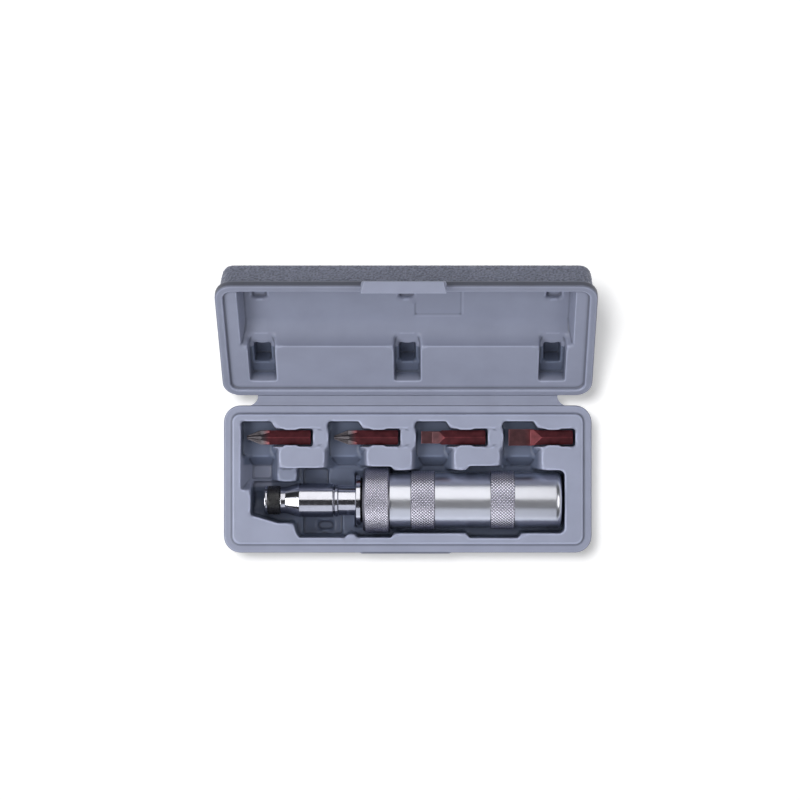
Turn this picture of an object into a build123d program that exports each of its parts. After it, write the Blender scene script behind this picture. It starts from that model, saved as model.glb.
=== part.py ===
from build123d import *
from math import atan2, cos, degrees, pi, radians, sin, sqrt, tan
import os

# Hand impact driver kit: a hinged double-walled case that holds the driver, its bit holder and four bits.
# Millimetres, +Z up. The origin is the centre of the case's flat underside. +X runs from the bit holder
# to the struck end of the driver, and +Y runs from the latch side to the hinge side.

# Case, both halves
case_length = 206.2
case_depth = 82.6
base_height = 32.4
lid_height = 23.0
case_corner = 9.4
flange_thickness = 4.8
flange_ledge = 1.8
wall_draft = 4.0
foot_radius = 4.5
flange_edge = 0.6
skin = 1.4
parting_gap = 0.2
lid_open_angle = 135.0
overrun = 1.0

# Base: raised inner plateau that the tray is pressed into
rim_width = 4.9
plateau_rise = 1.6
plateau_edge = 0.8

# Four bit stations along the rear of the tray
station_count = 4
station_pitch = 49.0
first_slot_end = -53.1
bit_axis_y = 23.3
slot_width = 10.1
slot_length = 23.3
ledge_depth = 1.0
tip_pocket_length = 17.0
tip_pocket_rear = 32.4
tip_flare = 2.3
tip_draft = 4.0
tray_corner = 1.6
bump_width = 9.6
bump_tip_width = 5.8
bump_height = 0.75
bump_from_end = 12.4
column_width = 23.7
column_from_tip = 2.2
column_draft = 15.0
column_upper_depth = 12.0
column_lower_depth = 20.0
column_step_rear = 12.4
column_step_front = 7.4
column_front = -1.5
first_column_front = -6.1
first_column_left = -93.7
bit_seat_gap = 0.1
bit_below_plateau = 0.4

# Driver bed
driver_axis_y = -12.2
driver_axis_below_rim = 9.8
bed_floor_below_axis = 9.0
bed_clearance = 0.45
body_bed_rear = 5.0
body_bed_front = -30.4
body_bed_right = 88.0
collar_bed_rear = 7.1
collar_bed_front = -32.8
collar_bed_left = -30.2
collar_bed_right = -9.3
collar_bed_slant = 1.7
nose_bed_left = -88.0
nose_bed_front = -20.1
holder_bed_front = -24.7
holder_bed_slant = 15.4
block_front = -1.5
block_left = -74.6
block_rear = 6.1
block_depth = 5.0
finger_left = -62.3
finger_right = -34.8
finger_rear = 6.3
finger_slant = 1.8
finger_depth = 23.0
stud_width = 4.3
stud_front = -30.7
scoop_left = 34.6
scoop_right = 61.8
scoop_front = -33.0
scoop_rear = 7.4
scoop_rear_reach = 8.2
scoop_slant = 2.0
scoop_depth = 20.0
window_x = -46.9
window_y = -26.9
window_length = 9.2
window_width = 5.0
window_extra_depth = 2.0

# Lid interior, measured from the lid's free edge towards the hinge
lid_rim_width = 4.3
shelf_depth = 2.0
lid_pocket_pitch = 80.3
lid_pocket_width = 15.2
lid_pocket_front = 42.0
lid_pocket_rear = 73.2
lid_pocket_depth = 9.65
lid_window_width = 11.0
lid_window_front = 50.1
lid_window_rear = 65.9
lid_window_depth = 17.0
half_pocket_width = 10.4
half_pocket_front = 12.0
half_pocket_rear = 22.9
half_pocket_depth = 3.0

# Lid trough, measured from the driver's axis
trough_headroom = 5.55
trough_length = 183.4
trough_end_slope = 2.7
trough_front_reach = 23.1
trough_step_reach = 17.1
trough_round = 11.9
trough_corner = 4.0
label_pad_x = 17.0
label_pad_length = 26.3
label_pad_sink = 0.7

# Hinge strip
strip_chord = 5.3
strip_thickness = 0.8
strip_length = 167.8
strip_flare = 4.0

# Latch and the ridge that it catches
latch_width = 46.0
latch_lip_width = 42.2
latch_x = -1.2
latch_thickness = 1.6
latch_root_low = 0.2
latch_root_high = 1.6
latch_drop = 7.1
latch_lip = 7.1
latch_lip_corner = 1.5
latch_edge = 0.5
latch_gap = 0.2
ridge_width = 49.8
ridge_height = 0.6
ridge_top = 0.8
ridge_bottom = 2.6
hook_reach = 0.55
hook_top = 2.9
hook_bottom = 4.4

# Driver, places along X
holder_front = -80.7
holder_rear = -41.6
band_front = -78.9
band_rear = -71.8
cone_front = -68.7
cone_rear = -61.1
shoulder_front = -41.4
shoulder_rear = -38.9
spindle_flange_front = -29.2
spindle_flange_rear = -26.6
collar_front = -25.2
collar_rear = -10.2
body_front = -19.3
pin_x = -15.0
band_one_front = 1.6
band_two_front = 46.3
knurl_band_length = 13.7
struck_end = 86.3

# Driver, diameters and sections
holder_diameter = 19.4
holder_neck_diameter = 14.7
holder_lip_diameter = 16.4
band_diameter = 16.2
band_seat_diameter = 12.9
shoulder_diameter = 18.9
shoulder_chamfer = 0.6
spindle_neck_diameter = 17.5
spindle_flange_diameter = 28.2
body_diameter = 31.1
collar_seat_step = 0.75
collar_wall = 3.55
knurl_diameter = 32.9
spindle_diameter = 20.0
spindle_bore = 11.0
body_bore = 20.2
body_end_radius = 3.6
collar_chamfer = 1.4
edge_break = 0.4

# Drive square and hex socket
square_size = 12.7
square_length = 15.4
square_corner = 1.35
square_clearance = 0.08
square_end_gap = 0.6
socket_size = 8.0
socket_clearance = 0.06
socket_depth = 18.5
ball_diameter = 4.0
ball_stand_out = 0.05
ball_from_end = 7.0
holder_ball_diameter = 3.0
holder_ball_x = -75.4

# Impact mechanism
stroke = 6.0
turn_per_stroke = 18.0
pin_diameter = 5.0
pin_clearance = 0.12
pin_end_gap = 0.1
slot_steps = 14
spindle_rear = 12.0
washer_thickness = 1.6
washer_bore = 8.0
washer_clearance = 0.2
spring_wire = 2.2
spring_outer = 17.0
spring_turns = 8
spring_seat_gap = 0.05
bore_rear = 46.0
snap_wire = 1.2
snap_gap_angle = 30.0
seal_diameter = 25.2
seal_thickness = 1.1

# Bits
bit_size = 8.0
bit_length = 36.0
bit_end_gap = 1.3
bit_chamfer = 0.7
cross_cone_length = 9.2
cross_tip_radius = 0.9
cross_flute_length = 8.0
cross_flute_run = 13.0
cross_tip_wing = 0.7
cross_wing = 2.4
wing_count = 4
narrow_blade_length = 6.2
narrow_blade_width = 6.9
narrow_blade_thickness = 1.1
narrow_ramp_length = 7.0
wide_blade_length = 12.2
wide_blade_width = 9.3
wide_blade_thickness = 1.5
wide_ramp_length = 6.2

# Fits
fit_gap = 0.03
snap_x = -11.4
spindle_bore_front = -24.4
drive_spring_length = 3.0
drive_spring_wire = 0.5
drive_spring_turns = 4

# Derived places
rim_z = base_height
plateau_z = rim_z + plateau_rise
lid_rim_z = rim_z + parting_gap
axis_z = rim_z - driver_axis_below_rim
collar_seat_diameter = body_diameter - 2 * collar_seat_step
collar_diameter = collar_seat_diameter + 2 * collar_wall
front_y = -case_depth / 2
rear_y = case_depth / 2
hex_corner_share = 2 / sqrt(3)
bit_corner = bit_size * hex_corner_share / 2
island_rear = bit_axis_y - slot_width / 2
bit_axis_z = plateau_z - bit_below_plateau - bit_corner
lean_share = sqrt(0.5)
strip_bow_share = 0.3
blade_growth_share = 1.5
hex_slope_share = tan(radians(30.0))
drill_share = tan(radians(31.0))
drive_ball_x = shoulder_front - square_length + ball_from_end
second_well_left = first_slot_end + station_pitch - slot_length - tip_pocket_length
quarter_turn = 90.0
bend_share = 1 / tan(radians(lid_open_angle / 2))
hinge_y = rear_y + (strip_chord - parting_gap * bend_share) / 2
hinge_z = rim_z + (parting_gap - strip_chord * bend_share) / 2
hinge_axis = Axis((0, hinge_y, hinge_z), (1, 0, 0))


def write(shape, node):
    """One sub-part to its own file."""
    export_step(shape, "parts/" + node + ".step")


def slab(length, depth, radius, low, high, draft=0):
    """Upright block with rounded corners between two heights. It narrows downwards by the draft angle."""
    top = Plane.XY.offset(high) * RectangleRounded(length, depth, radius)
    return extrude(top, amount=high - low, dir=(0, 0, -1), taper=draft)


def pocket(outline, top, bottom, draft=0):
    """Flat outline cut downwards from one height to another."""
    return extrude(Plane.XY.offset(top) * outline, amount=top - bottom, dir=(0, 0, -1), taper=draft)


def rod(radius, start, end, y, z):
    """Round bar along X."""
    return Plane.YZ.offset(start) * Pos(y, z) * extrude(Circle(radius), amount=end - start)


def turned(stations, y=driver_axis_y, z=axis_z):
    """Solid turned about the driver's axis from (place along X, radius) pairs."""
    points = [(stations[0][0], 0)] + stations + [(stations[-1][0], 0)]
    profile = make_face(Polyline(*points, close=True))
    return Pos(0, y, z) * revolve(profile, axis=Axis.X)


def hex_bar(size, start, end, y, z, chamfer_size=0):
    """Hexagonal bar along X with one edge on top."""
    corner = size * hex_corner_share / 2
    section = RegularPolygon(corner, 6, rotation=quarter_turn)
    bar = Plane.YZ.offset(start) * Pos(y, z) * extrude(section, amount=end - start)
    if chamfer_size:
        cone = turned([(start, corner), (end - chamfer_size, corner), (end, corner - chamfer_size)], y, z)
        bar = bar & cone
    return bar


def slot_end(station):
    return first_slot_end + station_pitch * station


def grown(outline, amount):
    """The outline pushed outwards by a wall's thickness."""
    return offset(outline, amount, kind=Kind.ARC) if amount else outline


# Case halves: flange, drafted wall and rounded foot


def half_shell(height):
    """One case half, outside only, with its rim plane at its height and its closed side on the floor."""
    neck = height - flange_thickness
    flange = slab(case_length, case_depth, case_corner, neck, height)
    flange = fillet(flange.edges().group_by(Axis.Z)[0] + flange.edges().group_by(Axis.Z)[-1], flange_edge)
    wall = slab(
        case_length - 2 * flange_ledge, case_depth - 2 * flange_ledge, case_corner - flange_ledge, 0,
        neck + flange_edge, wall_draft,
    )
    wall = fillet(wall.edges().group_by(Axis.Z)[0], foot_radius)
    return flange + wall


def half_void(height):
    """Air space between the outer and the inner skin of one half, before the inner forms are kept out."""
    inset = flange_ledge + skin
    length = case_length - 2 * inset
    depth = case_depth - 2 * inset
    return slab(length, depth, case_corner - inset, skin, height - skin, wall_draft)


# Tray in the base


def tip_pocket(station, grow):
    """Space round a bit's tip, flared by the slot and the ledge. It runs on to the well's step."""
    right = slot_end(station) - slot_length
    left = right - tip_pocket_length
    slot_rear = bit_axis_y + slot_width / 2
    points = [(left, column_step_rear)]
    if station:
        points += [(left, slot_rear), (left - tip_flare / 2, slot_rear)]
    points += [
        (left, tip_pocket_rear), (right, tip_pocket_rear), (right + tip_flare, slot_rear),
        (right + tip_flare, island_rear), (right, island_rear), (right, column_step_rear),
    ]
    outline = grown(make_face(Polyline(*points, close=True)), grow)
    return pocket(outline, plateau_z, plateau_z - column_upper_depth - grow)


def column(station, grow):
    """Stepped finger well in front of a bit's tip, running down to the driver's bed."""
    right = slot_end(station) - slot_length + (column_width - tip_pocket_length - column_from_tip)
    left = right - column_width if station else first_column_left
    front = column_front if station else first_column_front
    middle = Pos((left + right) / 2, (island_rear + front) / 2)
    length = right - left + 2 * grow
    plan = middle * RectangleRounded(length, island_rear - front + 2 * grow, tray_corner + grow)
    wedge = pocket(plan, plateau_z, plateau_z - column_lower_depth - grow, column_draft)
    upper = plateau_z - column_upper_depth - grow
    lower = plateau_z - column_lower_depth - grow
    side = [
        (island_rear + grow, plateau_z), (island_rear + grow, upper), (column_step_rear + grow, upper),
        (column_step_front + grow, lower), (front - grow, lower), (front - grow, plateau_z),
    ]
    profile = Plane.YZ.offset(left - grow) * make_face(Polyline(*side, close=True))
    return wedge & extrude(profile, amount=length, dir=(1, 0, 0))


def bit_slot(station, grow):
    """Slot with a V floor that seats a hexagonal bit on two of its flats."""
    half = slot_width / 2 + grow
    seat = bit_axis_z - bit_corner - bit_seat_gap - grow * hex_corner_share
    shoulder = seat + half * hex_slope_share
    points = [(-half, plateau_z), (-half, shoulder), (0, seat), (half, shoulder), (half, plateau_z)]
    section = make_face(Polyline(*points, close=True))
    start = slot_end(station) - slot_length - tip_flare
    length = slot_length + tip_flare + grow
    cut = extrude(Plane.YZ.offset(start) * Pos(bit_axis_y, 0) * section, amount=length, dir=(1, 0, 0))
    return cut


def slot_bumps(station):
    """Pair of low ribs that grip the bit's sides."""
    centre = slot_end(station) - bump_from_end
    wall = slot_width / 2
    tip = wall - bump_height
    points = [
        (-bump_width / 2, wall), (-bump_tip_width / 2, tip), (bump_tip_width / 2, tip),
        (bump_width / 2, wall), (bump_width / 2, wall + skin), (-bump_width / 2, wall + skin),
    ]
    rib = extrude(make_face(Polyline(*points, close=True)), amount=plateau_z - bit_axis_z)
    rib = Pos(centre, bit_axis_y, bit_axis_z) * rib
    return rib + Pos(0, 2 * bit_axis_y, 0) * rib.mirror(Plane.XZ)


def ledge(station):
    """Shallow shelf between a slot's end and the next tip pocket."""
    start = slot_end(station)
    length = station_pitch - slot_length - tip_pocket_length
    outline = Pos(start + length / 2, bit_axis_y) * Rectangle(length + 2 * edge_break, slot_width)
    return pocket(outline, plateau_z, plateau_z - ledge_depth)


def bed_outline():
    """Outline of the driver's bed where it meets the plateau."""
    slant = collar_bed_slant
    bed_left = collar_bed_left + slant
    rear_scoop_right = slot_end(2) + scoop_rear_reach
    stud_right = finger_right + finger_slant / 2 + stud_width
    points = [
        (nose_bed_left, nose_bed_front), (nose_bed_left + holder_bed_slant, holder_bed_front),
        (finger_left - finger_slant, holder_bed_front), (finger_left, stud_front),
        (finger_left + finger_slant, collar_bed_front), (finger_right, collar_bed_front),
        (finger_right + finger_slant / 2, stud_front), (stud_right, stud_front),
        (bed_left, collar_bed_front), (collar_bed_right, collar_bed_front),
        (collar_bed_right + slant, body_bed_front), (scoop_left - scoop_slant, body_bed_front),
        (scoop_left, scoop_front), (scoop_right, scoop_front), (scoop_right + scoop_slant, body_bed_front),
        (body_bed_right, body_bed_front), (body_bed_right, body_bed_rear),
        (rear_scoop_right + edge_break, body_bed_rear), (rear_scoop_right, scoop_rear),
        (scoop_left, scoop_rear), (scoop_left - scoop_slant, body_bed_rear),
        (collar_bed_right + slant, body_bed_rear), (collar_bed_right, collar_bed_rear),
        (collar_bed_left, collar_bed_rear), (collar_bed_left, finger_rear), (finger_left, finger_rear),
        (finger_left, block_front), (nose_bed_left, block_front),
    ]
    face = make_face(Polyline(*points, close=True))
    end_corners = face.vertices().group_by(Axis.X)[-1]
    return fillet(end_corners, 2 * tray_corner)


def driver_bed(grow):
    """Bed under the driver: an upright opening down to the axis, and round cradles below it."""
    bed = pocket(grown(bed_outline(), grow), plateau_z, axis_z - bed_floor_below_axis - grow)
    cradles = [
        (knurl_diameter / 2, collar_bed_right - edge_break, body_bed_right - edge_break),
        (collar_diameter / 2, collar_bed_left, collar_bed_right),
        (holder_diameter / 2, nose_bed_left + edge_break, collar_bed_left + edge_break),
    ]
    for radius, start, end in cradles:
        bed += rod(radius + bed_clearance + grow, start - grow, end + grow, driver_axis_y, axis_z)
    finger_halves = [
        (collar_bed_front, driver_axis_y, finger_right - finger_slant),
        (driver_axis_y, finger_rear, second_well_left),
    ]
    for front, rear, right in finger_halves:
        left = finger_left + finger_slant
        plan = Pos((left + right) / 2, (front + rear) / 2) * RectangleRounded(
            right - left + 2 * grow, rear - front + 2 * grow, tray_corner + grow,
        )
        bed += pocket(plan, axis_z, plateau_z - finger_depth - grow, tip_draft)
    length = finger_left - block_left + 2 * overrun + 2 * grow
    block = Pos((block_left + finger_left) / 2, (block_rear + block_front) / 2) * RectangleRounded(
        length, block_rear - block_front + 2 * grow, tray_corner / 2 + grow,
    )
    bed += pocket(block, plateau_z, plateau_z - block_depth - grow)
    scoop_middle = Pos((scoop_left + scoop_right) / 2, (scoop_front + scoop_rear) / 2)
    scoop_plan = scoop_middle * RectangleRounded(
        scoop_right - scoop_left + 2 * grow, scoop_rear - scoop_front + 2 * grow, tray_corner + grow,
    )
    bed += pocket(scoop_plan, axis_z, plateau_z - scoop_depth - grow, tip_draft)
    window = Pos(window_x, window_y) * RectangleRounded(
        window_length + 2 * grow, window_width + 2 * grow, edge_break + grow,
    )
    bed += pocket(window, axis_z, plateau_z - finger_depth - window_extra_depth - grow)
    return bed


def tray_cut(grow):
    """Everything pressed into the plateau. Grown by the skin, it is what the air space avoids."""
    cut = driver_bed(grow)
    for station in range(station_count):
        cut += tip_pocket(station, grow)
        cut += column(station, grow)
        slot = bit_slot(station, grow)
        cut += slot if grow else slot - slot_bumps(station)
    return cut


def case_base():
    shell = half_shell(base_height)
    length = case_length - 2 * rim_width
    depth = case_depth - 2 * rim_width
    plateau = slab(length, depth, case_corner - rim_width, rim_z - flange_edge, plateau_z)
    plateau = fillet(plateau.edges().group_by(Axis.Z)[-1], plateau_edge)
    ridge = Pos(latch_x, front_y, rim_z - (ridge_top + ridge_bottom) / 2) * Box(
        ridge_width, 2 * ridge_height, ridge_bottom - ridge_top,
    )
    ridge = fillet(ridge.edges().filter_by(Axis.X).group_by(Axis.Y)[0], ridge_height / 2)
    void = half_void(base_height)
    void += slab(
        length - 2 * skin, depth - 2 * skin, case_corner - rim_width, rim_z - 2 * skin, plateau_z - skin,
    )
    void -= tray_cut(skin)
    body = shell + plateau + ridge - tray_cut(0)
    for station in range(station_count - 1):
        body -= ledge(station)
    return body - void


# Lid, modelled closed and then swung open


def lid_shell():
    """Outside of the lid in its closed place."""
    return Pos(0, 0, lid_rim_z + lid_height) * half_shell(lid_height).mirror(Plane.XY)


def from_free_edge(distance):
    return front_y + distance


def trough_roof():
    return axis_z + collar_diameter / 2 + trough_headroom


def lid_trough(grow):
    """Long hollow over the driver: a flat roof near the free edge that rounds down to the shelf."""
    roof = trough_roof() + grow
    front = driver_axis_y - trough_front_reach - grow
    step_y = driver_axis_y + trough_step_reach + grow
    radius = trough_round + grow
    bend_y = step_y - radius
    bend_z = roof - radius
    sill = lid_rim_z - grow
    profile = make_face([
        Line((front, sill), (front, roof)),
        Line((front, roof), (bend_y, roof)),
        ThreePointArc(
            (bend_y, roof), (bend_y + radius * lean_share, bend_z + radius * lean_share), (step_y, bend_z),
        ),
        Line((step_y, bend_z), (step_y, sill)),
        Line((step_y, sill), (front, sill)),
    ])
    length = trough_length + 2 * grow
    bar = extrude(Plane.YZ.offset(-length / 2) * profile, amount=length, dir=(1, 0, 0))
    slope = degrees(atan2(trough_end_slope, roof - sill))
    plan = Plane.XY.offset(sill) * Pos(0, (front + step_y) / 2) * RectangleRounded(
        length, 2 * (step_y - front), trough_corner,
    )
    return bar & extrude(plan, amount=roof - sill, taper=slope)


def lid_shelf(grow):
    """Shallow recess inside the lid's rim that nests over the base's plateau."""
    return slab(
        case_length - 2 * (lid_rim_width - grow), case_depth - 2 * (lid_rim_width - grow),
        case_corner - lid_rim_width + grow, lid_rim_z - grow, lid_rim_z + shelf_depth + grow,
    )


def lid_pockets(grow):
    """Three stepped pockets by the hinge side and three short ones by the free edge."""
    cut = None
    half_depth = trough_roof() - lid_rim_z + half_pocket_depth
    for place in (-1, 0, 1):
        x = place * lid_pocket_pitch
        parts = [
            (lid_pocket_width, lid_pocket_front, lid_pocket_rear, lid_pocket_depth),
            (lid_window_width, lid_window_front, lid_window_rear, lid_window_depth),
            (half_pocket_width, half_pocket_front, half_pocket_rear, half_depth),
        ]
        for width, front, rear, depth in parts:
            middle = Pos(x, from_free_edge((front + rear) / 2), lid_rim_z)
            plan = RectangleRounded(width + 2 * grow, rear - front + 2 * grow, tray_corner + grow)
            piece = middle * extrude(plan, amount=depth + grow, taper=tip_draft)
            cut = piece if cut is None else cut + piece
    return cut


def label_pad(grow):
    """Shallow bare rectangle in the trough's flat roof."""
    front = driver_axis_y - trough_front_reach + label_pad_sink
    rear = driver_axis_y + trough_step_reach - trough_round
    return Pos(label_pad_x, (front + rear) / 2, trough_roof()) * Box(
        label_pad_length + 2 * grow, rear - front + 2 * grow, 2 * (label_pad_sink + grow),
    )


def lid():
    void = Pos(0, 0, lid_rim_z + lid_height) * half_void(lid_height).mirror(Plane.XY)
    void -= lid_shelf(skin) + lid_trough(skin) + lid_pockets(skin) + label_pad(skin)
    inside = lid_shelf(0) + lid_trough(0) + lid_pockets(0) + label_pad(0)
    return swing(lid_shell() - inside - void)


def swing(shape):
    """From the closed place to the open rest place."""
    return shape.rotate(hinge_axis, -lid_open_angle)


def hinge_strip():
    """Thin web that joins the two rims. It lies flat at the rim's height when the lid is open."""
    half = strip_length / 2
    lean = strip_thickness * tan(radians(lid_open_angle - quarter_turn))
    far = rear_y + strip_chord
    bow = strip_bow_share
    bow_y = rear_y + strip_chord * bow
    outline = make_face([
        Line((-half - strip_flare, rear_y), (half + strip_flare, rear_y)),
        ThreePointArc((half + strip_flare, rear_y), (half + strip_flare * bow, bow_y), (half, far - lean)),
        Line((half, far - lean), (half, far + lean)),
        Line((half, far + lean), (-half, far + lean)),
        Line((-half, far + lean), (-half, far - lean)),
        ThreePointArc(
            (-half, far - lean), (-half - strip_flare * bow, bow_y), (-half - strip_flare, rear_y),
        ),
    ])
    web = pocket(outline, rim_z, rim_z - strip_thickness)
    low = rim_z - strip_thickness
    side = [(rear_y, low), (far + lean, low), (far, rim_z), (rear_y, rim_z)]
    profile = make_face(Polyline(*side, close=True))
    return web & extrude(Plane.YZ.offset(-case_length / 2) * profile, amount=case_length, dir=(1, 0, 0))


def latch():
    """Springy tongue on the lid's free edge, with a hook and a lip to pull. Modelled closed."""
    face = front_y - ridge_height - latch_gap
    outer = face - latch_thickness
    tip = face + hook_reach
    bottom = lid_rim_z - latch_drop
    run = latch_lip * lean_share
    back = latch_thickness * lean_share
    root_high = lid_rim_z + latch_root_high
    root_low = lid_rim_z + latch_root_low
    points = [
        (front_y, root_high), (front_y, root_low), (face, root_low), (face, rim_z - hook_top),
        (tip, rim_z - hook_top), (tip, rim_z - hook_bottom + hook_reach), (face, rim_z - hook_bottom),
        (face, bottom + latch_edge), (face - latch_edge, bottom), (face - run, bottom + run - latch_edge),
        (face - run + back, bottom + run + back - latch_edge),
        (outer, bottom + run + back - latch_edge - (outer - face + run - back)), (outer, root_high),
    ]
    section = Plane.YZ.offset(latch_x - latch_width / 2) * make_face(Polyline(*points, close=True))
    tongue = extrude(section, amount=latch_width, dir=(1, 0, 0))
    half = latch_width / 2
    lip_half = latch_lip_width / 2
    plan = make_face(Polyline(
        (-half, front_y), (-half, face), (-lip_half, face - run), (lip_half, face - run), (half, face),
        (half, front_y), close=True,
    ))
    plan = fillet(plan.vertices().group_by(Axis.Y)[0], latch_lip_corner)
    place = Plane.XY.offset(bottom) * Pos(latch_x, 0)
    tongue = tongue & extrude(place * plan, amount=latch_drop + latch_root_high)
    return swing(tongue)


# Driver


def driver_body():
    """Hammer sleeve: closed struck end, blind bore, two raised knurl bands and a seat for the collar."""
    radius = body_diameter / 2
    knurl = knurl_diameter / 2
    rise = knurl - radius
    seat = collar_seat_diameter / 2
    stations = [(body_front, seat), (collar_rear, seat), (collar_rear, radius)]
    for start in (band_one_front, band_two_front):
        end = start + knurl_band_length
        stations += [(start, radius), (start + rise / 2, knurl), (end - rise / 2, knurl), (end, radius)]
    stations.append((struck_end, radius))
    sleeve = turned(stations)
    sleeve = fillet(sleeve.edges().filter_by(GeomType.CIRCLE).sort_by(Axis.X)[-1], body_end_radius)
    bore = body_bore / 2
    point = bore_rear + bore * drill_share
    sleeve -= turned([(body_front - overrun, bore), (bore_rear, bore), (point, edge_break)])
    sleeve -= cross_rod(pin_diameter / 2 + fit_gap, collar_diameter, pin_x)
    return sleeve - snap_groove()


def cross_rod(radius, length, x):
    """Round bar across the driver's axis, upright, centred on it."""
    return Pos(x, driver_axis_y, axis_z) * Cylinder(radius, length)


def snap_place():
    return Pos(snap_x, driver_axis_y, axis_z) * Rotation(0, quarter_turn, 0)


def snap_ring_path(radius):
    return snap_place() * Torus(radius, snap_wire / 2)


def snap_groove():
    """Round-bottomed groove shared by the body's seat and the collar's bore."""
    return snap_place() * Torus(collar_seat_diameter / 2, snap_wire / 2 + fit_gap)


def collar_snap_ring():
    """Open wire ring that keeps the collar on the body."""
    ring = snap_ring_path(collar_seat_diameter / 2)
    reach = collar_diameter / 2
    gap = 2 * reach * tan(radians(snap_gap_angle / 2))
    cut = Box(2 * snap_wire, gap, 2 * reach - body_bore)
    return ring - Pos(snap_x, driver_axis_y, axis_z - reach) * cut


def knurled_collar():
    """Sleeve that covers the cam pin and leaves room in its mouth for the spindle's flange."""
    radius = collar_diameter / 2
    bore = collar_seat_diameter / 2 + fit_gap
    sleeve = turned([
        (collar_front, radius - collar_chamfer), (collar_front + collar_chamfer, radius),
        (collar_rear - collar_chamfer / 2, radius), (collar_rear, radius - collar_chamfer / 2),
    ])
    sleeve -= rod(bore, collar_front - overrun, collar_rear + overrun, driver_axis_y, axis_z)
    return sleeve - snap_groove()


def cam_pin():
    length = collar_seat_diameter - 2 * pin_end_gap
    pin = cross_rod(pin_diameter / 2, length, pin_x)
    return chamfer(pin.edges().filter_by(GeomType.CIRCLE), edge_break)


def cam_slots():
    """Two facing V slots. Each branch runs forwards from the pin's rest place and round the axis."""
    reach = spindle_diameter + 2 * overrun
    cut = None
    for hand in (-1, 1):
        for step in range(slot_steps + 1):
            share = step / slot_steps
            place = Pos(pin_x - stroke * share, driver_axis_y, axis_z)
            turn = Rotation(hand * turn_per_stroke * share, 0, 0)
            hole = place * turn * Cylinder(pin_diameter / 2 + pin_clearance, reach)
            cut = hole if cut is None else cut + hole
    return cut


def square_bar(size, corner, start, end):
    section = RectangleRounded(size, size, corner)
    return Plane.YZ.offset(start) * Pos(driver_axis_y, axis_z) * extrude(section, amount=end - start)


def spindle():
    """Drive square, shoulder, neck, flange and the bored barrel with the two V slots."""
    square_front = shoulder_front - square_length
    shoulder = shoulder_diameter / 2
    neck = spindle_neck_diameter / 2
    flange = spindle_flange_diameter / 2
    barrel = spindle_diameter / 2
    body = turned([
        (shoulder_front, shoulder - shoulder_chamfer), (shoulder_front + shoulder_chamfer, shoulder),
        (shoulder_rear - shoulder_chamfer, shoulder), (shoulder_rear, shoulder - shoulder_chamfer),
        (shoulder_rear, neck), (spindle_flange_front, neck), (spindle_flange_front, flange - edge_break),
        (spindle_flange_front + edge_break, flange), (spindle_flange_rear, flange),
        (spindle_flange_rear, barrel), (spindle_rear, barrel),
    ])
    square = square_bar(square_size, square_corner, square_front, shoulder_front + edge_break)
    point = turned([
        (square_front, square_size / 2), (square_front + square_corner, square_size / 2 + square_corner),
        (square_front + 2 * square_corner, square_size), (shoulder_front + edge_break, square_size),
    ])
    body += square & point
    body -= rod(spindle_bore / 2, spindle_bore_front, spindle_rear + overrun, driver_axis_y, axis_z)
    return body - cam_slots() - drive_ball_hole(fit_gap)


def drive_ball_hole(gap):
    """Blind hole in one face of the drive square for its ball and spring."""
    top = axis_z + square_size / 2
    depth = ball_diameter + drive_spring_length
    return Pos(drive_ball_x, driver_axis_y, top - depth / 2 + ball_stand_out) * Cylinder(
        ball_diameter / 2 + gap, depth,
    )


def drive_ball():
    centre = axis_z + square_size / 2 + ball_stand_out - ball_diameter / 2
    return Pos(drive_ball_x, driver_axis_y, centre) * Sphere(ball_diameter / 2)


def drive_ball_spring():
    """Small coil under the drive square's ball."""
    wire = drive_spring_wire
    radius = ball_diameter / 2 - wire
    ball_bottom = axis_z + square_size / 2 + ball_stand_out - ball_diameter
    height = drive_spring_length - wire - 2 * edge_break
    path = Helix(pitch=height / drive_spring_turns, height=height, radius=radius)
    section = Plane(origin=path @ 0, z_dir=path % 0) * Circle(wire / 2)
    coil = sweep(section, path=path)
    return Pos(drive_ball_x, driver_axis_y, ball_bottom - wire / 2 - edge_break / 2 - height) * coil


def front_seal():
    """Rubber dust ring behind the spindle's flange."""
    ring = turned([
        (spindle_flange_rear, seal_diameter / 2 - edge_break / 2),
        (spindle_flange_rear + seal_thickness / 2, seal_diameter / 2),
        (spindle_flange_rear + seal_thickness, seal_diameter / 2 - edge_break / 2),
    ])
    end = spindle_flange_rear + seal_thickness
    return ring - rod(spindle_diameter / 2, spindle_flange_rear, end, driver_axis_y, axis_z)


def thrust_washer():
    start = spindle_rear + spring_seat_gap
    radius = body_bore / 2 - washer_clearance
    plate = rod(radius, start, start + washer_thickness, driver_axis_y, axis_z)
    return plate - rod(washer_bore / 2, start, start + washer_thickness, driver_axis_y, axis_z)


def main_spring():
    """Stout coil between the thrust washer and the end of the bore."""
    start = spindle_rear + 2 * spring_seat_gap + washer_thickness + spring_wire / 2
    length = bore_rear - spring_seat_gap - spring_wire / 2 - start
    path = Helix(pitch=length / spring_turns, height=length, radius=(spring_outer - spring_wire) / 2)
    section = Plane(origin=path @ 0, z_dir=path % 0) * Circle(spring_wire / 2)
    coil = sweep(section, path=path)
    return Pos(start, driver_axis_y, axis_z) * Rotation(0, quarter_turn, 0) * coil


# Bit holder


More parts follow.
